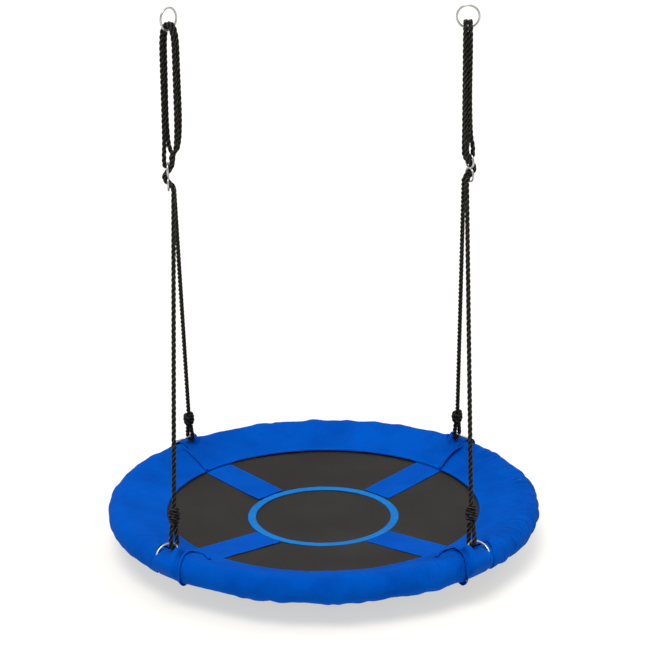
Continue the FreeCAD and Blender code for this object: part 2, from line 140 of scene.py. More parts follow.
def mottle(tree, vector, scale, detail=3.0):
    """Cloudy patches, from 0 to 1."""
    node = add(tree, "TexNoise", Vector=vector, Scale=scale, Detail=detail, Roughness=0.55)
    return node.outputs["Fac"]


def streaks(tree, uv, across, along):
    """Noise drawn out along the cloth, from its scale each way."""
    drawn = add(tree, "Mapping", Vector=uv, Scale=(across, along, 1.0)).outputs[0]
    return add(tree, "TexNoise", Vector=drawn, Scale=1.0, Detail=2.0).outputs["Fac"]


def start_material(name, roughness, **sockets):
    """A new material, its node tree and its shader."""
    material = bpy.data.materials.new(name)
    material.use_nodes = True
    tree = material.node_tree
    tree.nodes.clear()
    shader = add(tree, "BsdfPrincipled", Roughness=roughness, **sockets)
    out = add(tree, "OutputMaterial")
    tree.links.new(shader.outputs[0], out.inputs["Surface"])
    return material, tree, shader


def finish_material(tree, shader, colour, roughness, height, distance, strength=1.0):
    """Joins a material's colour, roughness and surface relief to its shader."""
    tree.links.new(colour, shader.inputs["Base Color"])
    tree.links.new(roughness, shader.inputs["Roughness"])
    bump = add(tree, "Bump", Strength=strength, Distance=distance, Height=height)
    tree.links.new(bump.outputs[0], shader.inputs["Normal"])


def along_cloth(tree):
    """The cloth's own coordinates, in millimetres across and along."""
    uv = add(tree, "UVMap", {"uv_map": "cloth"}).outputs[0]
    split = add(tree, "SeparateXYZ", Vector=uv)
    return uv, split.outputs[0], split.outputs[1]


def threads(tree, across, along, pitch_across, pitch_along):
    """A plain weave's height, from 0 to 1."""
    waves = []
    for value, pitch in ((across, pitch_across), (along, pitch_along)):
        waves.append(maths(tree, "SINE", maths(tree, "MULTIPLY", value, math.tau / pitch)))
    return maths(tree, "MULTIPLY_ADD", maths(tree, "MULTIPLY", *waves), 0.5, 0.5)


STITCH_WIDTH = 1.1  # millimetres
THREAD_COLOUR = (0.006, 0.15, 0.62, 1.0)


def stitches(tree, across, along, rows, pitch):
    """Where a row of stitches shows: 1 on the thread and 0 off it."""
    dash = maths(tree, "LESS_THAN", maths(tree, "FRACT", maths(tree, "DIVIDE", along, pitch)), 0.66)
    total = None
    for row in rows:
        near = maths(tree, "COMPARE", across, row, STITCH_WIDTH / 2)
        total = near if total is None else maths(tree, "MAXIMUM", total, near)
    return maths(tree, "MULTIPLY", total, dash)


def wrinkles(tree, uv, radial, place):
    """The height of small creases and of gathers over the rim, deepest at the saucer's right."""

    def winding(cloud):
        """A noise's distance from its middle value, which is 0 along winding lines."""
        return maths(tree, "ABSOLUTE", maths(tree, "SUBTRACT", cloud.outputs["Fac"], 0.5))

    bent = add(tree, "TexNoise", Vector=place, Scale=9.0, Detail=1.0, Distortion=0.3)
    side = maths(tree, "ADD", add(tree, "SeparateXYZ", Vector=place).outputs[0], 0.5)
    crease = maths(tree, "MULTIPLY", winding(bent), spread(tree, side, 26.0, 68.0))
    drawn = add(tree, "Mapping", Vector=uv, Scale=(0.046, 0.013, 1.0)).outputs[0]
    drawn = add(tree, "TexNoise", Vector=drawn, Scale=1.0, Detail=1.0, Distortion=0.2)
    outer = add(tree, "MapRange", Value=radial, From_Min=50.0, From_Max=105.0).outputs[0]
    right = add(
        tree, "MapRange", Value=side, From_Min=0.55, From_Max=0.92, To_Min=18.0, To_Max=125.0
    ).outputs[0]
    gathers = maths(tree, "MULTIPLY", winding(drawn), maths(tree, "MULTIPLY", outer, right))
    return maths(tree, "ADD", crease, gathers)


def woven_material(name, shades, pitch, roughness, depth, rows=(), stitch=5.0, flip=False):
    """Woven cloth: threads, patches a shade lighter and darker, and rows of stitches.

    Its weak shine is tinted with the dye. flip gives the rows across the cloth's length, and
    creases the cloth.
    """
    dark, base, light = shades
    material, tree, shader = start_material(
        name, roughness, Specular_IOR_Level=0.025, Specular_Tint=(0.05, 0.35, 1.0, 1.0)
    )
    uv, across, along = along_cloth(tree)
    weave = threads(tree, across, along, *pitch)
    place = add(tree, "TexCoord").outputs["Object"]
    patches = mottle(tree, place, 9.0)
    slubs = streaks(tree, uv, 0.9, 0.05)
    tone = maths(tree, "MULTIPLY_ADD", patches, 0.75, maths(tree, "MULTIPLY", slubs, 0.1))
    tone = maths(tree, "MULTIPLY_ADD", weave, 0.08, tone)
    colour = ramp(tree, tone, (0.3, dark), (0.5, base), (0.72, light))
    height = maths(tree, "MULTIPLY_ADD", slubs, 0.1, maths(tree, "MULTIPLY", weave, 0.25))
    if rows:
        sides = (along, across) if flip else (across, along)
        sewn = stitches(tree, *sides, rows, stitch)
        height = maths(tree, "MULTIPLY_ADD", sewn, 1.6, height)
        if flip:
            height = maths(tree, "SUBTRACT", height, wrinkles(tree, uv, along, place))
        mix = add(tree, "Mix", {"data_type": "RGBA"}, _0=sewn, _6=colour, _7=THREAD_COLOUR)
        colour = mix.outputs[2]
    rough = spread(tree, patches, roughness - 0.06, roughness + 0.08)
    finish_material(tree, shader, colour, rough, height, depth)
    return material


def rope_material():
    """Twisted black yarn. Its colour has painted highlights, short light flecks on the crests,
    and painted shade on each strand's inner side, where the strands meet.
    """
    material, tree, shader = start_material("rope_yarn", 0.5, Specular_IOR_Level=0.12)
    uv, yarn, _ = along_cloth(tree)
    wave = maths(tree, "SINE", maths(tree, "MULTIPLY", yarn, math.tau))
    crest = maths(tree, "MULTIPLY_ADD", wave, 0.5, 0.5)
    streak = streaks(tree, uv, 1.0, 0.16)
    # Painted highlight: the crests' flecks, which lighten the colour as glints would.
    painted_glint = maths(tree, "MULTIPLY", crest, maths(tree, "POWER", streak, 2.2))
    # Painted shade: the strand layer is 1 on a strand's outer side and 0 on its inner side.
    outward = add(tree, "UVMap", {"uv_map": "strand"}).outputs[0]
    outward = add(tree, "SeparateXYZ", Vector=outward).outputs[0]
    # Painted highlights and painted shade together: the value lifts on glinting crests and drops
    # between strands.
    painted_light_on_strands = maths(tree, "MULTIPLY", outward, maths(tree, "MULTIPLY_ADD", painted_glint, 1.25, 0.12))
    # The two lightest stops are the painted highlights' colours; the darkest is the painted shade
    # between strands.
    colour = ramp(
        tree,
        painted_light_on_strands,
        (0.0, (0.0012, 0.0012, 0.0012)),
        (0.24, (0.006, 0.0058, 0.005)),
        (0.46, (0.14, 0.132, 0.117)),
        (0.75, (0.48, 0.45, 0.40)),
    )
    rough = spread(tree, streak, 0.42, 0.66)
    finish_material(tree, shader, colour, rough, crest, 0.0004)
    return material


def steel_material(name, shade, roughness):
    """Zinc-plated wire: bright, with a little cloud and drawing marks."""
    material, tree, shader = start_material(name, roughness, Metallic=1.0)
    place = add(tree, "TexCoord").outputs["Object"]
    cloud = mottle(tree, place, 90.0)
    scratch = mottle(tree, place, 900.0, 2.0)
    colour = ramp(tree, cloud, (0.3, tuple(0.86 * c for c in shade)), (0.7, shade))
    rough = spread(tree, cloud, roughness - 0.08, roughness + 0.14)
    finish_material(tree, shader, colour, rough, scratch, 0.0001, 0.5)
    return material


def mat_material():
    """Coated open mesh: a fine grid of threads with small holes between them."""
    material, tree, shader = start_material("mesh_mat", 0.66, Specular_IOR_Level=0.07)
    _, across, along = along_cloth(tree)
    grid = threads(tree, across, along, 1.6, 1.6)
    place = add(tree, "TexCoord").outputs["Object"]
    cloud = mottle(tree, place, 5.0)
    grain = mottle(tree, place, 420.0, 2.0)
    tone = maths(tree, "MULTIPLY_ADD", cloud, 0.6, maths(tree, "MULTIPLY", grain, 0.25))
    tone = maths(tree, "MULTIPLY_ADD", grid, 0.15, tone)
    colour = ramp(
        tree,
        tone,
        (0.3, (0.022, 0.020, 0.018)),
        (0.5, (0.030, 0.0275, 0.025)),
        (0.7, (0.040, 0.037, 0.034)),
    )
    rough = spread(tree, cloud, 0.52, 0.72)
    finish_material(tree, shader, colour, rough, grid, 0.0004)
    return material


def tape_material():
    """Glossy light-blue binding tape with fine ribs across it."""
    material, tree, shader = start_material("trim_tape", 0.36, Specular_IOR_Level=0.06)
    _, across, along = along_cloth(tree)
    rib = threads(tree, across, along, 3.0, 1.4)
    place = add(tree, "TexCoord").outputs["Object"]
    cloud = mottle(tree, place, 14.0)
    colour = ramp(tree, cloud, (0.35, (0.001, 0.150, 0.49)), (0.65, (0.002, 0.182, 0.56)))
    rough = spread(tree, cloud, 0.26, 0.42)
    finish_material(tree, shader, colour, rough, rib, 0.00035)
    return material


def foam_material():
    """Closed-cell foam: matt, dark and finely pitted."""
    material, tree, shader = start_material("foam_cells", 0.85)
    place = add(tree, "TexCoord").outputs["Object"]
    cells = add(tree, "TexVoronoi", Vector=place, Scale=700.0).outputs["Distance"]
    colour = ramp(tree, cells, (0.1, (0.012, 0.012, 0.013)), (0.6, (0.035, 0.035, 0.037)))
    rough = spread(tree, cells, 0.75, 0.95)
    finish_material(tree, shader, colour, rough, cells, 0.0005)
    return material


BLUE = ((0.0002, 0.058, 0.36), (0.0003, 0.074, 0.43), (0.0004, 0.087, 0.49))
ROPE_YARN = rope_material()
ZINC = steel_material("zinc_wire", (0.56, 0.57, 0.58), 0.30)
TUBE = steel_material("tube_steel_zinc", (0.50, 0.51, 0.53), 0.36)
MESH = mat_material()
TAPE = tape_material()
CELLS = foam_material()
COVER = woven_material(
    "cover_cloth_blue", BLUE, (0.9, 0.9), 0.8, 0.0002, (5.0, 176.0, 280.0), 4.5, True
)
CUFF = woven_material("cuff_cloth_blue", BLUE, (0.9, 0.9), 0.8, 0.0002)
STRAP = woven_material("strap_webbing_blue", BLUE, (2.4, 1.2), 0.7, 0.0005, (-36.0, 36.0), 5.0)
LOOP = woven_material("loop_webbing_blue", BLUE, (2.0, 1.2), 0.7, 0.0005, (-26.5, 26.5), 4.5)


# --- meshes ----------------------------------------------------------------------------


def add_layer(mesh, name, values):
    """Gives a mesh a pair of coordinates for each vertex, or for each face corner."""
    layer = mesh.uv_layers.new(name=name)
    corner_of = np.empty(len(mesh.loops), np.int32)
    mesh.loops.foreach_get("vertex_index", corner_of)
    values = np.asarray(values, float)
    if len(values) != len(mesh.loops):
        values = values[corner_of]
    layer.data.foreach_set("uv", values.astype(np.float32).ravel())


def mesh_object(name, points, faces, material, cloth=None):
    """A smooth mesh piece, with its coordinates on the cloth."""
    mesh = bpy.data.meshes.new(name)
    mesh.from_pydata([tuple(p) for p in points], [], [tuple(f) for f in faces])
    if cloth is not None:
        add_layer(mesh, "cloth", cloth)
    mesh.materials.append(material)
    mesh.polygons.foreach_set("use_smooth", [True] * len(mesh.polygons))
    mesh.update()
    piece = bpy.data.objects.new(name, mesh)
    bpy.context.scene.collection.objects.link(piece)
    return piece


def grid_faces(rows, columns, closed=False, flipped=False):
    """The faces of a grid of vertices, given row by row. A closed one joins up along a row."""
    faces = []
    for row in range(rows - 1):
        here, after = row * columns, (row + 1) * columns
        for column in range(columns if closed else columns - 1):
            beside = (column + 1) % columns
            face = (here + column, here + beside, after + beside, after + column)
            faces.append(face[::-1] if flipped else face)
    return faces


def distances(line):
    """The distance along a line to each of its points."""
    return np.concatenate([[0], np.cumsum(np.linalg.norm(np.diff(line, axis=0), axis=1))])


# --- ropes -----------------------------------------------------------------------------

PITCH = 0.038  # along the rope for one turn of its strands
STRAND = 0.00286
STRAND_OUT = ROPE - STRAND
STRAND_SIDES = 9
STRAND_LONGER = 1.09  # than the rope that it is laid into
YARNS = 15
YARN_TWIST = 0.42  # yarns passed for each millimetre along a strand
STEP = 0.0016


def route_line(route):
    """Evenly spaced points on the smooth curve that a route's corners steer."""
    data = bpy.data.curves.new("route", "CURVE")
    data.dimensions = "3D"
    data.resolution_u = 40
    spline = data.splines.new("NURBS")
    spline.points.add(len(route) - 1)
    for point, place in zip(spline.points, route):
        point.co = (*place, 1.0)
    spline.order_u = 3
    spline.use_endpoint_u = True
    holder = bpy.data.objects.new("route", data)
    mesh = bpy.data.meshes.new_from_object(holder)
    raw = np.array([tuple(v.co) for v in mesh.vertices])
    bpy.data.meshes.remove(mesh)
    bpy.data.objects.remove(holder)
    bpy.data.curves.remove(data)
    gaps = np.linalg.norm(np.diff(raw, axis=0), axis=1)
    raw = raw[np.concatenate([[True], gaps > 1e-7])]
    so_far = distances(raw)
    at = np.linspace(0, so_far[-1], max(2, round(so_far[-1] / STEP)) + 1)
    return np.stack([np.interp(at, so_far, raw[:, k]) for k in range(3)], axis=1), so_far[-1]


def carried_frames(line):
    """Tangents and normals along a line, the normals turning about it as little as may be."""
    tangents = np.gradient(line, axis=0)
    tangents /= np.linalg.norm(tangents, axis=1)[:, None]
    normals = np.zeros_like(line)
    guess = np.array([1.0, 0, 0]) if abs(tangents[0][0]) < 0.8 else np.array([0, 1.0, 0])
    first = guess - tangents[0] * (guess @ tangents[0])
    normals[0] = first / np.linalg.norm(first)
    for i in range(len(line) - 1):
        step = line[i + 1] - line[i]
        normal = normals[i] - 2 / (step @ step) * (step @ normals[i]) * step
        ahead = tangents[i] - 2 / (step @ step) * (step @ tangents[i]) * step
        turn = tangents[i + 1] - ahead
        if turn @ turn > 1e-18:
            normal = normal - 2 / (turn @ turn) * (turn @ normal) * turn
        normals[i + 1] = normal / np.linalg.norm(normal)
    return tangents, normals, np.cross(tangents, normals)


def lay_angle(tangent, normal, side, mark):
    """The angle about a line at which its first strand faces the mark."""
    mark = mark - tangent * (mark @ tangent)
    return math.atan2(mark @ side, mark @ normal)


def rope(name, route, slim=1.0):
    """Three twisted strands along a route, and the line that they follow."""
    line, length = route_line(route)
    tangents, normals, sides = carried_frames(line)
    mark = np.array([1.0, 0, 0])
    start = lay_angle(tangents[0], normals[0], sides[0], mark)
    finish = lay_angle(tangents[-1], normals[-1], sides[-1], mark)
    twist = math.tau * length / (PITCH * slim)
    third = math.tau / 3
    twist += (finish - start - twist + third / 2) % third - third / 2
    so_far = np.linspace(0, 1, len(line))
    points, faces, cloth = [], [], []
    around = np.arange(STRAND_SIDES) * math.tau / STRAND_SIDES
    for strand in range(3):
        angle = start + twist * so_far + strand * third
        out = normals * np.cos(angle)[:, None] + sides * np.sin(angle)[:, None]
        beside = np.cross(tangents, out)
        middle = line + out * STRAND_OUT * slim
        base = len(points)
        for i in range(len(line)):
            for a in around:
                points.append(
                    middle[i] + (out[i] * math.cos(a) + beside[i] * math.sin(a)) * STRAND * slim
                )
        walk = so_far * length * 1000 * STRAND_LONGER
        for i in range(len(line) - 1):
            for j in range(STRAND_SIDES):
                k = (j + 1) % STRAND_SIDES
                row, nxt = base + i * STRAND_SIDES, base + (i + 1) * STRAND_SIDES
                faces.append((row + j, row + k, nxt + k, nxt + j))
                for n, m in ((j, i), (j + 1, i), (j + 1, i + 1), (j, i + 1)):
                    yarn = n / STRAND_SIDES * YARNS + YARN_TWIST * walk[m] + strand * 5.3
                    cloth.append((yarn, walk[m] + strand * 37.0))
        for row, flip in ((base, True), (base + (len(line) - 1) * STRAND_SIDES, False)):
            ring = [row + j for j in range(STRAND_SIDES)]
            faces.append(tuple(reversed(ring)) if flip else tuple(ring))
            cloth += [(0.0, 0.0)] * STRAND_SIDES
    piece = mesh_object(name, points, faces, ROPE_YARN, cloth)
    # Painted shade: 1 on each strand's outer side and 0 on its inner side, to darken the colour
    # where strands meet.
    outward = np.tile(0.5 + 0.5 * np.cos(around), len(points) // STRAND_SIDES)
    add_layer(piece.data, "strand", np.stack([outward, np.zeros(len(outward))], axis=1))
    return piece, [tuple(p) for p in line], length


def level_frame(turn):
    """Two level directions: the one at an angle in degrees, and the one on its left."""
    angle = math.radians(turn)
    return (
        Vector((math.cos(angle), math.sin(angle), 0)),
        Vector((-math.sin(angle), math.cos(angle), 0)),
    )


# The ends of the turns that the falls hang from: the front leg's fall, the two that go down
# to the adjuster's bar and back, and the rear leg's.
FALLS = {
    "left": (("front", -1), ("rear", -1), ("front", 1), ("rear", 1)),
    "right": (("front", -1), ("rear", 1), ("front", 1), ("rear", -1)),
}
RING_TURN = {"left": 50.0, "right": 0.0}
EIGHT_TURN = {"left": 0.0, "right": 210.0}
EIGHT_DROP = {"left": 0.359, "right": 0.344}
EIGHT_OUT = {"left": 0.011, "right": 0.0065}
ROPE_GAP = 0.0104  # the soft ropes press together
BIGHT = 0.019
BIGHT_TOP = WIRE_Z + 0.0142
BIGHT_FOOT = WIRE_Z - 0.050
WEAVE_OUT, WEAVE_RISE, WEAVE_END, WEAVE_GAP = 0.0115, 0.023, 0.040, 0.0064
BEHIND_BAR = 0.015  # further back than the tube's corner, because the smooth line cuts inside it
BAR_TURN, BAR_RISE = 0.0081, 0.0314
BOW_RISE, FALL_END = 0.075, 0.010
BOW_PULL = {"left": -0.12, "right": 0.3}
EYE_TURN, EYE_LENGTH, KNOT_LENGTH = 0.0099, 0.042, 0.038


def bights(side, ends):
    """The rope's two turns over a top ring. Their ends are kept for the falls."""
    sign = SIDES[side]
    along, across = level_frame(RING_TURN[side])
    for offset in (-1, 1):
        middle = Vector((sign * HALF_SPAN, 0, 0)) + along * (offset * ROPE_GAP / 2)
        front, rear = middle - across * BIGHT, middle + across * BIGHT
        route = [
            front + UP * BIGHT_FOOT,
            front + UP * BIGHT_TOP,
            rear + UP * BIGHT_TOP,
            rear + UP * BIGHT_FOOT,
        ]
        ends["front", offset], ends["rear", offset] = route[0], route[-1]
        piece, line, length = rope(f"rope_turn_{side}_{'outer' if offset > 0 else 'inner'}", route)
        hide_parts(f"rope_bights_{side}")
        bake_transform(piece)


def fall_route(top, foot, middle, pull):
    """The corners of a fall, which bows a little above the adjuster."""
    bow = top + (foot - top) * pull
    bow.z = middle.z + BOW_RISE
    return [top, top - UP * FALL_END, bow, foot + UP * FALL_END, foot]


def side_ropes(side):
    """One side's rope: turns, falls, the loop through the adjuster, legs, knots and eyes."""
    sign = SIDES[side]
    ends = {}
    bights(side, ends)
    out, across = level_frame(EIGHT_TURN[side])
    middle = Vector((sign * (HALF_SPAN + EIGHT_OUT[side]), 0, -EIGHT_DROP[side]))
    pull = BOW_PULL[side]

    bar = middle + UP * BAR_RISE
    tops = [bar + out * (way * BAR_TURN) for way in (-1, 1)]
    feet = [top + UP * (WEAVE_END - BAR_RISE) for top in tops]
    from_front, to_bar, from_bar, to_rear = (ends[turn] for turn in FALLS[side])
    down = fall_route(to_bar, feet[0], middle, pull)
    back = fall_route(from_bar, feet[1], middle, pull)[::-1]
    route = down + [tops[0] - UP * BAR_TURN, tops[1] - UP * BAR_TURN] + back
    hung = [(f"rope_loop_{side}", route)]

    for end, way in ENDS.items():
        shift = middle + across * math.copysign(WEAVE_GAP, way * across.y)
        wire = Vector((sign * HALF_SPAN, way * HALF_SPAN, RIM_Z + EYE_LIFT))
        low = shift + out * WEAVE_OUT - UP * WEAVE_RISE
        high = shift + out * WEAVE_OUT + UP * WEAVE_RISE
        behind = shift - out * BEHIND_BAR
        leg_end = low + (wire - low).normalized() * (WEAVE_END - WEAVE_RISE)
        fall_end = high + UP * (WEAVE_END - WEAVE_RISE)
        heading = (leg_end - wire).normalized()
        top = from_front if end == "front" else to_rear
        route = fall_route(top, fall_end, middle, pull)
        hung.append((f"rope_fall_{end}_{side}", route))
        leg(f"{end}_{side}", side, [fall_end, high, behind, low, leg_end], wire, heading)

    for name, route in hung:
        piece, line, length = rope(name, route)
        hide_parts(f"rope_falls_{side}")
        if "loop" in name:
            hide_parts(f"rope_weave_{side}")
        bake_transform(piece)


def leg(name, side, weave, wire, heading):
    """A rope through the adjuster and down to its knot, with the knot and the eye below it."""
    knot_top = wire + heading * (EYE_LENGTH + KNOT_LENGTH)
    route = weave + [knot_top + heading * 0.06, wire + heading * (EYE_LENGTH + 0.004)]
    piece, line, length = rope(f"rope_leg_piece_{name}", route)
    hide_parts(f"rope_leg_{name}", f"rope_weave_{side}")
    knot = knotted(name, wire, heading)
    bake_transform(piece)
    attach(knot, f"{side}_legs")

    along_wire = Vector((wire.y, -wire.x, 0)).normalized()
    flat = heading.cross(along_wire).normalized()
    neck = ROPE + 0.0006
    points = [
        (-neck, EYE_LENGTH),
        (-neck, EYE_LENGTH - 0.008),
        (-(EYE_TURN + 0.0014), -EYE_TURN),
        (EYE_TURN + 0.0014, -EYE_TURN),
        (neck, EYE_LENGTH - 0.008),
        (neck, EYE_LENGTH),
    ]
    route = [wire + flat * across + heading * up for across, up in points]
    eye, line, length = rope(f"rope_eye_piece_{name}", route)
    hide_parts(f"rope_eye_{name}")
    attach(eye, f"{side}_legs")


def knotted(name, wire, heading):
    """The wrapped knot: the rope's end wound round the rope above its eye."""
    side = heading.cross(Vector((0, 1, 0))).normalized()
    beside = heading.cross(side)
    coil, thick, pitch = 0.008976, 0.92, 0.0096
    turns, per_turn = 3, 12
    steps = turns * per_turn
    bottom = EYE_LENGTH + ROPE * thick + 0.0004
    begin = math.radians(200)

    def at(radius, angle, height):
        return (
            wire
            + side * (radius * math.cos(angle))
            + beside * (radius * math.sin(angle))
            + heading * height
        )

    route = [at(0.002, begin - 1.2, bottom - 0.001), at(0.0065, begin - 0.7, bottom - 0.001)]
    for i in range(steps + 1):
        angle = begin + i * math.tau / per_turn
        swell = 0.82 + 0.26 * math.sin(math.pi * i / steps)
        route.append(at(coil * swell, angle, bottom + pitch * i / per_turn))
    top = bottom + pitch * turns
    last = begin + steps * math.tau / per_turn
    route += [at(0.0065, last + 0.7, top + 0.001), at(0.002, last + 1.2, top + 0.001)]
    piece = rope(f"rope_knot_piece_{name}", route, thick)[0]
    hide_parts(f"rope_knot_{name}")
    return piece


for side in SIDES:
    side_ropes(side)


# --- the saucer ------------------------------------------------------------------------


def polar(angle, radius, lift):
    """A place on the saucer, from its angle in degrees, its radius and its height on the rim."""
    turn = math.radians(angle)
    return (radius * math.cos(turn), radius * math.sin(turn), RIM_Z + lift)


MAT_OUT = 0.446
MAT_STOPS = ((0.0, -0.036), (0.1775, -0.030), (0.366, -0.013), (MAT_OUT, -0.007))


def mat_lift(radius):
    """The mat's top on the rim's plane, at a distance from its middle."""
    return float(np.interp(radius, *zip(*MAT_STOPS)))


def eased(value, low, high):
    """A smooth step: 0 up to low and 1 from high on."""
    share = min(1.0, max(0.0, (value - low) / (high - low)))
    return share * share * (3 - 2 * share)


def thicken(piece, thickness, offset=0.0):
    """Gives a sheet its thickness: half on each side, or all of it below with offset -1."""
    made = piece.modifiers.new("thickness", "SOLIDIFY")
    made.thickness = thickness
    made.offset = offset
    made.use_even_offset = True


def apply_modifiers(piece):
    """Replaces a piece's mesh with what its modifiers make of it."""
    shown = piece.evaluated_get(bpy.context.evaluated_depsgraph_get())
    mesh = bpy.data.meshes.new_from_object(shown)
    old = piece.data
    piece.modifiers.clear()
    piece.data = mesh
    bpy.data.meshes.remove(old)


def mat():
    """The dished mesh mat."""
    rings, columns = 72, 240
    radii = [MAT_OUT * (i + 1) / rings for i in range(rings)]
    points = [(0.0, 0.0, RIM_Z + mat_lift(0))]
    for r in radii:
        for c in range(columns):
            angle = 360 * c / columns
            x, y, z = polar(angle, r, mat_lift(r))
            ripple = noise.noise(Vector((x * 7, y * 7, 1.3))) * 0.0022
            ripple += noise.noise(Vector((x * 22, y * 22, 7.1))) * 0.0004
            points.append((x, y, z + ripple * min(1.0, (0.45 - r) / 0.08)))
    faces = [(0, 1 + c, 1 + (c + 1) % columns) for c in range(columns)]
    for ring in range(rings - 1):
        for c in range(columns):
            a, b = 1 + ring * columns + c, 1 + ring * columns + (c + 1) % columns
            faces.append((a, a + columns, b + columns, b))
    cloth = [(p[0] * 1000, p[1] * 1000) for p in points]
    piece = mesh_object("mat_mesh", points, faces, MESH, cloth)
    thicken(piece, 0.0024, -1.0)
    apply_modifiers(piece)
    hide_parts("mat")
    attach(piece, BODY)


# The cover's side view: from its inner edge up over the foam, round it and back under the mat.
COVER_IN = 0.366
COVER_TOP = -0.013 + 0.0040
COVER_LOW = -0.013 - 0.0040
COVER_HUB = FOAM + 0.0022
# The openings' plans, with the corner's diagonal along X: their inner end, and where their
# two sides cross the rim. Both sides lean away from the diagonal as they go outwards.
SLOT_IN = {"front_left": 0.440, "front_right": 0.440, "rear_left": 0.454, "rear_right": 0.454}
SLOT_NEAR = 0.036
SLOT_FAR = {"front_left": 0.041, "front_right": 0.050, "rear_left": 0.046, "rear_right": 0.046}
SLOT_LEAN = math.tan(math.radians(30))
SLOT_ROUND = 0.010
# How far an opening's inner edge is drawn down on to the webbing under it.
PRESSED = {"front_left": 0.006, "front_right": 0.005, "rear_left": 0.005, "rear_right": 0.005}


def leaving(radius, end, way):
    """The angle on the padded hoop's section where a straight run to a point leaves it."""
    reach, rise = end[0] - RIM, end[1]
    lean = math.atan2(rise, reach) % math.tau
    return lean - way * math.acos(radius / math.hypot(reach, rise))


def arc_points(radius, begin, finish, count):
    """Points (radius, lift) round the hoop's section, from one angle to another."""
    angles = [begin + (finish - begin) * i / count for i in range(count + 1)]
    return [(RIM + radius * math.cos(a), radius * math.sin(a)) for a in angles]


def cover_outline(count, hub=COVER_HUB, top=COVER_TOP, low=COVER_LOW):
    """Points (radius, lift) along the cover's side view, and the distance to each."""
    first = leaving(hub, (COVER_IN, top), 1) % math.tau
    last = leaving(hub, (COVER_IN, low), -1) % math.tau - math.tau
    dense = np.array([(COVER_IN, top), *arc_points(hub, first, last, 80), (COVER_IN, low)])
    so_far = distances(dense)
    at = np.linspace(0, so_far[-1], count)
    return np.stack([np.interp(at, so_far, dense[:, k]) for k in (0, 1)], axis=1), at


def mirror_of(name):
    """Which way round a corner its opening leans."""
    return 1 if name in ("rear_right", "front_left") else -1


def at_corner(name, x, y):
    """A place's distance along the corner's diagonal, and across it towards front or rear."""
    turn = math.radians(CORNERS[name])
    along = x * math.cos(turn) + y * math.sin(turn)
    across = y * math.cos(turn) - x * math.sin(turn)
    return along, across * mirror_of(name)


def near_side(along):
    """How far an opening's near side is from the diagonal, at a distance along it."""
    return SLOT_NEAR + SLOT_LEAN * (along - RIM)


def far_side(name, along):
    """The same for its far side, which is different at each corner."""
    return -SLOT_FAR[name] + SLOT_LEAN * (along - RIM)


def ridged(value):
    """A fold's profile from a noise value: a sharp crest with wide hollows beside it."""
    return 1.0 - 2.4 * abs(value)


def cover_crease(angle, share, radius):
    """How far the cloth stands off its smooth shape: gathers over the rim and soft folds."""
    turn = math.radians(angle)
    around = Vector((math.cos(turn), math.sin(turn), 0))

    def wave(scale, shift):
        return noise.noise(around * scale + Vector((0, 0, shift)))

    outer = min(1.0, max(0.0, (radius - 0.425) / 0.05))
    inner = min(1.0, (radius - COVER_IN) / 0.03)
    right = 0.30 + 0.70 * max(0.0, math.cos(turn - math.radians(8))) ** 2
    ends = abs(math.sin(turn)) ** 3
    sway = wave(2.1, share * 2.2)
    gather = wave(10.5, share * 1.4 + sway * 0.9)
    fine = wave(21.0, share * 2.8 + sway)
    fold = noise.noise(around * 5.0 + Vector((share * 3.1, -share * 2.3, share * 2.0 + 4.0)))
    soft = wave(3.2, share * 4.0 + 9.0)
    crumple = wave(34, share * 18.0)
    bent = around * 7.0 + Vector((fold * 0.8, soft * 0.8, share * 4.2 + sway))
    near, next_near = noise.voronoi(bent)[0][:2]
    edge = max(0.0, 1 - (next_near - near) / 0.22)
    patch = min(1.0, max(0.0, 0.45 + 1.6 * wave(2.3, share * 1.5 + 30.0)))
    return (
        0.0010
        + 0.0054 * outer * right * ridged(gather)
        + 0.0024 * outer * (0.4 + 0.6 * right) * fine
        + 0.0024 * outer * patch * edge
        + 0.0040 * inner * (0.35 + 0.65 * ends) * ridged(fold * 1.3)
        + 0.0026 * inner * soft
        + 0.0005 * crumple
    )


def sleeve_end(name, x, y):
    """The front and rear sectors' ends stand proud of the webbing that they lie on."""
    along, across = at_corner(name, x, y)
    begin = SLOT_IN[name]
    if along < begin - 0.04:
        return 0.0
    fade = eased(along, begin - 0.04, begin + 0.01)
    past = across - near_side(along)
    if past < -0.004:
        beside = eased(across, far_side(name, along) - 0.02, far_side(name, along))
        inside = 1 - eased(along, begin + 0.010, begin + 0.020)
        return -PRESSED[name] * beside * eased(-past, 0.004, 0.02) * inside * fade
    return 0.0026 * fade * math.exp(-max(0.0, past) / 0.014)


OPENING_REACH = 0.14  # from a corner's place on the hoop, beyond its opening


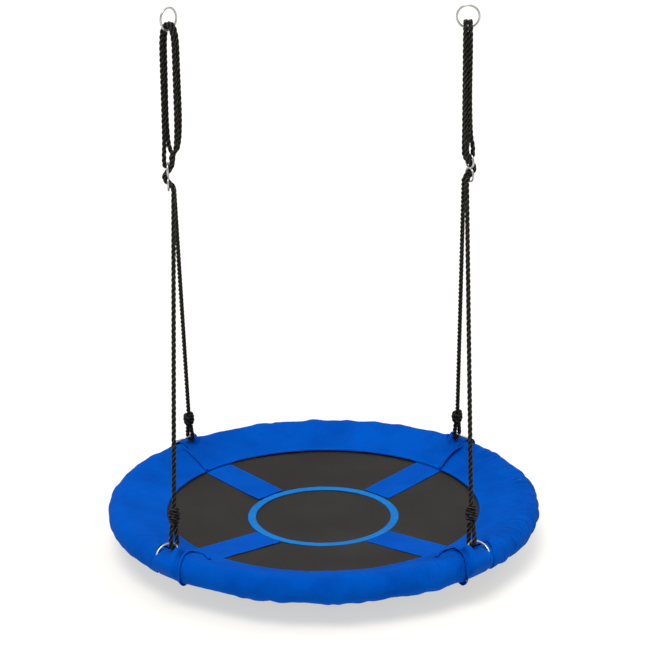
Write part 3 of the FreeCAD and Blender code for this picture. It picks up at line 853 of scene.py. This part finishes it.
def cut_openings(piece):
    """Cuts the four openings out of the cover along the planes of their sides."""
    made = bmesh.new()
    made.from_mesh(piece.data)
    slope = Vector((-SLOT_LEAN, 1.0)).normalized()
    for name, angle in CORNERS.items():
        out, beside = level_frame(angle)
        beside *= mirror_of(name)
        begin = SLOT_IN[name]
        corners = [(begin, near_side(begin)), (begin, far_side(name, begin))]
        planes = [
            (corners[0], (slope.x, slope.y)),
            (corners[1], (-slope.x, -slope.y)),
            (corners[0], (-1.0, 0.0)),
        ]
        for corner, side in zip(corners, planes[:2]):
            bevel = (Vector((-1.0, 0.0)) + Vector(side[1])).normalized()
            inset = SLOT_ROUND * (math.sqrt(2) - 1)
            planes.append(((corner[0] - bevel.x * inset, corner[1] - bevel.y * inset), bevel))
        for place, normal in planes:
            near = [
                f
                for f in made.faces
                if (f.calc_center_median().xy - (out * RIM).xy).length < OPENING_REACH
            ]
            around = set(near)
            for f in near:
                around.update(f.edges)
                around.update(f.verts)
            centre = out * place[0] + beside * place[1]
            bmesh.ops.bisect_plane(
                made,
                geom=list(around),
                dist=1e-6,
                plane_co=centre,
                plane_no=out * normal[0] + beside * normal[1],
            )
        gone = []
        for f in made.faces:
            middle = f.calc_center_median()
            if (middle.xy - (out * RIM).xy).length > OPENING_REACH:
                continue
            here = Vector((middle.dot(out), middle.dot(beside)))
            if all((here - Vector(p)).dot(Vector(n)) < 0 for p, n in planes):
                gone.append(f)
        bmesh.ops.delete(made, geom=gone, context="FACES")
    bmesh.ops.remove_doubles(made, verts=made.verts, dist=0.0003)
    bmesh.ops.recalc_face_normals(made, faces=made.faces)
    made.to_mesh(piece.data)
    made.free()


def cover_place(distance, angle, away, outline, at):
    """A place on the cover, from the distance along its side view and its angle."""
    step = 0.002

    def side_view(distance):
        return np.array([np.interp(distance, at, outline[:, k]) for k in (0, 1)])

    radius, lift = side_view(distance)
    tangent = Vector(side_view(distance + step) - side_view(distance - step)).normalized()
    return Vector(polar(angle, radius - tangent.y * away, lift + tangent.x * away))


def wrapped_grid(outline, at, columns, raised):
    """A grid turned once round the saucer, with its cloth coordinates for each face corner.

    raised gives how far a place stands off the side view, from its angle, row and radius.
    """
    rows = len(outline)
    tangents = np.gradient(outline, axis=0)
    tangents /= np.linalg.norm(tangents, axis=1)[:, None]
    points = []
    for row, (radius, lift) in enumerate(outline):
        for column in range(columns):
            angle = 360 * column / columns
            away = raised(angle, row, radius)
            points.append(
                polar(angle, radius - tangents[row][1] * away, lift + tangents[row][0] * away)
            )
    faces = grid_faces(rows, columns, closed=True, flipped=True)
    step = math.tau * RIM * 1000 / columns
    cloth = []
    for f in faces:
        last = any(i % columns == columns - 1 for i in f)
        for i in f:
            column = i % columns or (columns if last else 0)
            cloth.append((column * step, at[i // columns] * 1000))
    return points, faces, cloth


def over_webbing(angle):
    """How far the broad straps push the cloth off the foam: 1 on them and 0 beside them."""
    away = min(abs((angle - a + 180) % 360 - 180) for a in CORNERS.values())
    return 1 - eased(math.radians(away) * RIM, 0.041, 0.052)


SETTLE_FRAMES = 14
SETTLE_CAP = 0.0085


def settle(piece, held):
    """Lets slack cloth fall into wrinkles over the foam and the webbing. held is pinned."""
    start = np.array([tuple(v.co) for v in piece.data.vertices])
    outline, at = cover_outline(30, FOAM + 0.0008, COVER_TOP - 0.0016, COVER_LOW + 0.0016)
    points, faces, _ = wrapped_grid(
        outline, at, 160, lambda angle, row, radius: 0.0030 * over_webbing(angle)
    )
    core = mesh_object("settle_core", points, faces, CELLS)
    core.modifiers.new("collide", "COLLISION")
    core.collision.thickness_outer = 0.0008
    core.collision.cloth_friction = 12
    group = piece.vertex_groups.new(name="held")
    group.add(held, 1.0, "REPLACE")
    cloth = piece.modifiers.new("cloth", "CLOTH")
    kind = cloth.settings
    kind.quality = 5
    kind.mass = 0.25
    kind.tension_stiffness = kind.compression_stiffness = 40
    kind.shear_stiffness = 12
    kind.bending_stiffness = 0.6
    kind.vertex_group_mass = "held"
    kind.shrink_min = kind.shrink_max = -0.012
    cloth.collision_settings.collision_quality = 2
    cloth.collision_settings.distance_min = 0.0008
    cloth.collision_settings.use_self_collision = False
    cloth.point_cache.frame_start, cloth.point_cache.frame_end = 1, SETTLE_FRAMES
    scene = bpy.context.scene
    for number in range(1, SETTLE_FRAMES + 1):
        scene.frame_set(number)
    shown = piece.evaluated_get(bpy.context.evaluated_depsgraph_get())
    moved = np.array([tuple(v.co) for v in shown.data.vertices])
    piece.modifiers.clear()
    piece.vertex_groups.clear()
    core_mesh = core.data
    bpy.data.objects.remove(core)
    bpy.data.meshes.remove(core_mesh)
    scene.frame_set(1)
    away = moved - start
    far = np.linalg.norm(away, axis=1)
    away *= (np.minimum(far, SETTLE_CAP) / np.maximum(far, 1e-9))[:, None]
    piece.data.vertices.foreach_set("co", (start + away).astype(np.float32).ravel())
    piece.data.update()


def cover():
    """The sleeve round the foam, with an opening at each corner. Returns its surface."""
    rows, columns = 32, 272
    outline, at = cover_outline(rows)

    def raised(angle, row, radius):
        return max(-0.0010, cover_crease(angle, row / (rows - 1), radius))

    points, faces, around = wrapped_grid(outline, at, columns, raised)
    piece = mesh_object("cover_cloth", points, faces, COVER, around)
    settle(piece, list(range(2 * columns)) + list(range((rows - 2) * columns, rows * columns)))
    finer = piece.modifiers.new("finer", "SUBSURF")
    finer.levels = finer.render_levels = 1
    apply_modifiers(piece)
    finish_cover(piece)
    cut_openings(piece)
    thicken(piece, 0.0012)
    apply_modifiers(piece)
    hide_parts("cover")
    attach(piece, BODY)
    return BVHTree.FromPolygons(
        [v.co.copy() for v in piece.data.vertices], [tuple(p.vertices) for p in piece.data.polygons]
    )


def finish_cover(piece):
    """The folded hem at the cover's inner edge, its ends at the openings, and fine crumples."""
    mesh = piece.data
    where = {}
    for loop, uv in zip(mesh.loops, mesh.uv_layers["cloth"].data):
        where[loop.vertex_index] = uv.uv[1] / 1000
    for vertex in mesh.vertices:
        x, y, z = vertex.co
        at = where[vertex.index]
        away = 0.0006 * noise.noise(Vector((x * 55, y * 55, z * 90)))
        if at < 0.011:
            away += 0.0009 * math.sqrt(max(0.0, 1 - ((at - 0.0055) / 0.0055) ** 2))
        away += sum(sleeve_end(name, x, y) for name in CORNERS)
        vertex.co += vertex.normal * away
    mesh.update()


HOOP_DEGREE = 8.3  # millimetres along the hoop


def round_hoop(begin, span, rows, columns, thick):
    """A tube round part of the hoop: its points, faces and cloth coordinates.

    thick gives its radius, from the angle round the saucer, the row and the angle round the tube.
    """
    points, cloth = [], []
    for row in range(rows):
        angle = begin + span * row / (rows - 1)
        for column in range(columns):
            a = math.tau * column / columns
            radius = thick(angle, row, a)
            points.append(polar(angle, RIM + radius * math.cos(a), radius * math.sin(a)))
            cloth.append((a * FOAM * 1000, angle * HOOP_DEGREE))
    return points, grid_faces(rows, columns, closed=True, flipped=True), cloth


def cuffs():
    """The cloth round the foam at each corner, which shows in the cover's openings."""
    for seed, (name, angle) in enumerate(CORNERS.items()):

        def thick(turn, row, a):
            place = Vector((turn * 0.35, math.cos(a) * 1.5, math.sin(a) * 1.5 + seed))
            return FOAM + 0.0007 + 0.0004 * max(-0.6, noise.noise(place))

        points, faces, cloth = round_hoop(angle - 15, 30, 60, 56, thick)
        piece = mesh_object(f"cuff_cloth_{name}", points, faces, CUFF, cloth)
        thicken(piece, 0.0008)
        apply_modifiers(piece)
        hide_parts(f"cuff_{name}")
        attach(piece, BODY)


HEM_LIFT = {
    "front_left": 0.0036,
    "front_right": 0.0075,
    "rear_left": 0.0020,
    "rear_right": 0.0085,
}
HEM_WIDTH, HEM_CROWN = 0.009, 0.0012
# The front hems' way over the cover's top: the distance along the corner's diagonal, and across.
HEM_CURL = (
    (0.4210, 0.0640), (0.4125, 0.0540), (0.4060, 0.0420), (0.4040, 0.0310),
    (0.4075, 0.0215), (0.4160, 0.0160), (0.4260, 0.0140), (0.4370, 0.0150),
)


def sleeve_hem(name, surface, places, open_side):
    """A hem laid on the cover's cloth along its places (distance, angle).

    Its edge on the open side (1 or -1) stands off the cloth, most of all halfway along.
    """
    outline, at = cover_outline(400)
    line, normals = [], []
    for distance, angle in places:
        low, high = (cover_place(distance, angle, away, outline, at) for away in (0.0, 0.02))
        outward = (high - low).normalized()
        hit = surface.ray_cast(high, -outward, 0.03)[0]
        line.append((hit or low + outward * 0.004) + outward * 0.0010)
        normals.append(outward)
    for _ in range(3):
        middle = [(a + b * 2 + c) / 4 for a, b, c in zip(line, line[1:], line[2:])]
        line = [line[0], *middle, line[-1]]

    columns, last = 7, len(line) - 1
    points, cloth = [], []
    length = 0.0
    for i, place in enumerate(line):
        ahead = line[min(i + 1, last)] - line[max(i - 1, 0)]
        beside = ahead.cross(normals[i]).normalized()
        length += (place - line[i - 1]).length if i else 0.0
        lifted = HEM_LIFT[name] * math.sin(math.pi * i / last) ** 0.6
        for c in range(columns):
            across = c / (columns - 1) * 2 - 1
            raised = HEM_CROWN * math.sqrt(max(0.0, 1 - across * across))
            raised += lifted * (1 + open_side * across) / 2
            points.append(place + beside * (across * HEM_WIDTH / 2) + normals[i] * raised)
            cloth.append((across * HEM_WIDTH * 500, length * 1000))
    faces = grid_faces(len(line), columns)
    piece = mesh_object(f"sleeve_hem_{name}", points, faces, CUFF, cloth)
    thicken(piece, 0.001)
    apply_modifiers(piece)
    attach(piece, BODY)


def over_top(outline, at, radius):
    """The distance along the cover's side view to a place on its top."""
    half = int(np.argmax(outline[:, 0]))
    return float(np.interp(radius, outline[:half, 0], at[:half]))


def over_rim(name, begin, finish, count, across):
    """Places (distance, angle) straight over the rim beside a corner's diagonal.

    across gives how far beside, from the radius and the share of the way.
    """
    outline, at = cover_outline(400)
    places = []
    for i in range(count + 1):
        distance = begin + (finish - begin) * i / count
        radius = float(np.interp(distance, at, outline[:, 0]))
        angle = math.degrees(math.asin(across(radius, i / count) / radius))
        places.append((distance, CORNERS[name] + mirror_of(name) * angle))
    return places


def rear_hems(surface):
    """The folded ends of the side sectors at the rear, which lie across the cover."""
    for name in ("rear_left", "rear_right"):
        ending = over_top(*cover_outline(400), SLOT_IN[name] + 0.004)
        places = over_rim(name, 0.003, ending, 40, lambda radius, share: 0.010 * share - 0.037)
        sleeve_hem(name, surface, places, mirror_of(name))


def front_hems(surface):
    """The hems round the ends of the front sector, which curl in past the openings."""
    outline, at = cover_outline(400)
    begin = over_top(outline, at, 0.444)
    for name in ("front_left", "front_right"):
        mirror = mirror_of(name)
        places = []
        for along, across in HEM_CURL:
            angle = CORNERS[name] + mirror * math.degrees(math.atan2(across, along))
            places.append((over_top(outline, at, math.hypot(along, across)), angle))
        places += over_rim(
            name, begin, at[-1] - begin, 45, lambda radius, share: near_side(radius) + 0.0040
        )
        sleeve_hem(name, surface, places, -mirror)


STRAP_WIDTH, STRAP_LAY, WEBBING = 0.080, 0.0018, 0.0016


def strap_path():
    """From the trim over the mat, under the cover's inner edge and over the foam."""
    top = []
    for begin, end in ((0.179, 0.366), (0.366, 0.410)):
        count = max(4, int((end - begin) / 0.006))
        radii = [begin + (end - begin) * i / count for i in range(count)]
        top += [(radius, mat_lift(radius) + STRAP_LAY) for radius in radii]
    leave = (0.410, mat_lift(0.410) + STRAP_LAY)
    arc = arc_points(COVER_HUB, leaving(COVER_HUB, leave, 1), math.radians(-60), 36)
    lead = [tuple(a + (b - a) * i / 8 for a, b in zip(leave, arc[0])) for i in range(8)]
    return np.array(top + lead + arc)


def strap(name, angle, path, seed):
    """A broad strap along its side view (radius, lift)."""
    columns, crown, ripple = 17, 0.0004, 0.0012
    out, beside = level_frame(angle)
    so_far = distances(path)
    tangents = np.gradient(path, axis=0)
    tangents /= np.linalg.norm(tangents, axis=1)[:, None]
    points, cloth = [], []
    for i, (radius, lift) in enumerate(path):
        normal = out * -tangents[i][1] + UP * tangents[i][0]
        for c in range(columns):
            across = (c / (columns - 1) - 0.5) * STRAP_WIDTH
            bulge = crown * (1 - (2 * across / STRAP_WIDTH) ** 2)
            bulge += ripple * noise.noise(Vector((across * 25, so_far[i] * 18, seed * 3.7)))
            points.append(out * radius + beside * across + UP * (RIM_Z + lift) + normal * bulge)
            cloth.append((across * 1000, seed * 31.0 + so_far[i] * 1000))
    faces = grid_faces(len(path), columns)
    piece = mesh_object(f"strap_band_{name}", points, faces, STRAP, cloth)
    finish_strip(piece, f"strap_{name}")


# The side view of the webbing over a rim ring: up from the mat, through the ring under the
# rope's eye, out over the ring's lower wire and down the rim's outside.
TENT = (
    (0.428, -0.001), (0.440, 0.011), (0.450, 0.0205), (0.459, 0.0262),
    (0.470, 0.0286), (0.482, 0.0296), (0.494, 0.0290), (0.505, 0.0265),
    (0.5135, 0.0215), (0.5170, 0.013), (0.5140, 0.003), (0.5065, -0.009),
)
TENT_LOW, TENT_HIGH = -0.017, 0.042  # its two edges, across the corner's diagonal
TENT_PEAK = 0.0168
TENT_HUG = FOAM + 0.0042


def tent_path(across):
    """The webbing's side view at a distance from the diagonal, where it lies on the ring."""
    raised = TENT_PEAK * eased(across, 0.0095, 0.0175) * (1 - eased(across, 0.024, 0.036))
    close = eased(across, 0.026, 0.040)
    points = []
    for radius, lift in TENT:
        lift += raised * math.exp(-(((radius - 0.474) / 0.019) ** 2))
        stands = math.hypot(radius - RIM, lift)
        drawn_in = 1 + (TENT_HUG / stands - 1) * close * eased(radius, 0.446, 0.460)
        points.append((RIM + (radius - RIM) * drawn_in, lift * drawn_in))
    below = arc_points(TENT_HUG, math.radians(-32), math.radians(-170), 14)
    points += below + [(0.436, -0.0145), (0.425, -0.0150)]
    for _ in range(2):  # rounds its corners off
        finer = [points[0]]
        for a, b in zip(points, points[1:]):
            finer.append((a[0] * 0.75 + b[0] * 0.25, a[1] * 0.75 + b[1] * 0.25))
            finer.append((a[0] * 0.25 + b[0] * 0.75, a[1] * 0.25 + b[1] * 0.75))
        points = finer + [points[-1]]
    return points


def tent(name, angle, seed):
    """The folded webbing that holds a rim ring against the rim."""
    columns = 41
    out, beside = level_frame(angle)
    beside *= mirror_of(name)
    points, cloth = [], []
    rows = len(tent_path(0.0))
    for c in range(columns):
        across = TENT_LOW + (TENT_HIGH - TENT_LOW) * c / (columns - 1)
        path = tent_path(across)
        walked = 0.0
        for i, (radius, lift) in enumerate(path):
            walked += math.dist(path[i - 1], path[i]) if i else 0.0
            wander = 0.0012 * noise.noise(Vector((across * 60, walked * 40, seed * 5.1)))
            place = out * (radius + wander * 0.5) + UP * (RIM_Z + lift + wander)
            # Its far edge runs under the sleeve's end all the way round.
            share = (across - TENT_LOW) / (TENT_HIGH - TENT_LOW)
            reach = share**2 * (near_side(radius) + 0.004 - TENT_HIGH)
            points.append(place + beside * (across + reach))
            cloth.append(((across - TENT_LOW) * 1000 - 29.5, walked * 1000))
    faces = grid_faces(columns, rows, flipped=mirror_of(name) > 0)
    piece = mesh_object(f"ring_band_{name}", points, faces, LOOP, cloth)
    finish_strip(piece, f"ring_loop_{name}")


def finish_strip(piece, node):
    """Gives webbing its thickness and worn edges, hides the frame's own node for it and puts it on
    the saucer.
    """
    thicken(piece, WEBBING)
    edge = piece.modifiers.new("edge", "BEVEL")
    edge.width = WEBBING * 0.3
    edge.segments = 2
    edge.angle_limit = 0.9
    apply_modifiers(piece)
    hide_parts(node)
    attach(piece, BODY)


def bands():
    """The four broad straps, and the webbing that holds each rim ring."""
    path = strap_path()
    for seed, (name, angle) in enumerate(CORNERS.items()):
        strap(name, angle, path, seed)
        tent(name, angle, seed)


def trim():
    """The ring of glossy tape sewn on the middle of the mat."""
    columns, rows, width = 288, 9, 0.019
    points, cloth = [], []
    for row in range(rows):
        share = row / (rows - 1)
        radius = 0.1585 + width * share
        for column in range(columns):
            angle = 360 * column / columns
            turn = math.radians(angle)
            pucker = noise.noise(Vector((math.cos(turn) * 9, math.sin(turn) * 9, share * 2)))
            crown = 0.0006 * (1 - (2 * share - 1) ** 2)
            points.append(polar(angle, radius, mat_lift(radius) + 0.0014 + crown + 0.0004 * pucker))
            cloth.append((share * width * 1000, turn * 168))
    faces = grid_faces(rows, columns, closed=True, flipped=True)
    piece = mesh_object("trim_tape_ring", points, faces, TAPE, cloth)
    thicken(piece, 0.0016, -1.0)
    apply_modifiers(piece)
    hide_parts("centre_trim")
    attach(piece, BODY)


def foam():
    """Four foam sleeves round the steel hoop, a little uneven, with rounded ends."""
    columns, rows = 28, 150

    def thick(angle, row, a):
        dent = 0.0004 * noise.noise(Vector((angle * 0.7, math.cos(a) * 2, math.sin(a) * 2)))
        return FOAM - 0.0004 + dent - (0.0016 if row in (0, rows - 1) else 0.0)

    for quarter, start in (("right", -45), ("rear", 45), ("left", 135), ("front", 225)):
        points, faces, cloth = round_hoop(start + 0.1, 89.8, rows, columns, thick)
        ends = list(range(columns)), [(rows - 1) * columns + i for i in range(columns)][::-1]
        faces += [tuple(ring) for ring in ends]
        piece = mesh_object(f"foam_sleeve_{quarter}", points, faces, CELLS, cloth)
        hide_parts(f"foam_{quarter}")
        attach(piece, BODY)


mat()
covered = cover()
rear_hems(covered)
cuffs()
front_hems(covered)
bands()
trim()
foam()


# --- steel and the rest ----------------------------------------------------------------


def dress(name, material):
    """Gives one of the frame's own nodes its material."""
    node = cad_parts[name]
    node.data.materials.clear()
    node.data.materials.append(material)


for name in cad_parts:
    if name.startswith(("top_ring", "adjuster", "rim_ring", "joint_screws")):
        dress(name, ZINC)
    elif name.startswith(("frame_tube", "joint_sleeve")):
        dress(name, TUBE)


# --- stage -----------------------------------------------------------------------------

FLOOR_Z = -1.245


def stage():
    """A floor that glows a little, which keeps the shadow on it pale, and two soft suns."""
    material, tree, shader = start_material(
        "pale_floor", 0.9, Specular_IOR_Level=0.0, Emission_Strength=0.57
    )
    shader.inputs["Emission Color"].default_value = (1.0, 0.985, 0.90, 1.0)
    place = add(tree, "TexCoord").outputs["Object"]
    cloud = mottle(tree, place, 0.4)
    colour = ramp(tree, cloud, (0.3, (0.415, 0.405, 0.385)), (0.7, (0.43, 0.42, 0.40)))
    tree.links.new(colour, shader.inputs["Base Color"])
    size = 30.0
    corners = [(-size, -size), (size, -size), (size, size), (-size, size)]
    floor = mesh_object("floor", [(x, y, FLOOR_Z) for x, y in corners], [(0, 1, 2, 3)], material)

    world = bpy.data.worlds.new("studio")
    bpy.context.scene.world = world
    world.use_nodes = True
    light = world.node_tree.nodes["Background"].inputs
    light["Color"].default_value = (1.0, 1.0, 1.0, 1.0)
    light["Strength"].default_value = 0.55

    for name, place, angle, power in (
        ("key", (-0.35, -0.80, 2.2), 30.0, 1.85),
        ("top", (0.7, 0.9, 2.5), 70.0, 0.85),
    ):
        data = bpy.data.lights.new(name, "SUN")
        data.angle = math.radians(angle)
        data.energy = power
        lamp = bpy.data.objects.new(name, data)
        lamp.location = place
        lamp.rotation_euler = (-Vector(place)).to_track_quat("-Z", "Y").to_euler()
        bpy.context.scene.collection.objects.link(lamp)


stage()
bpy.context.scene.view_settings.view_transform = "Standard"
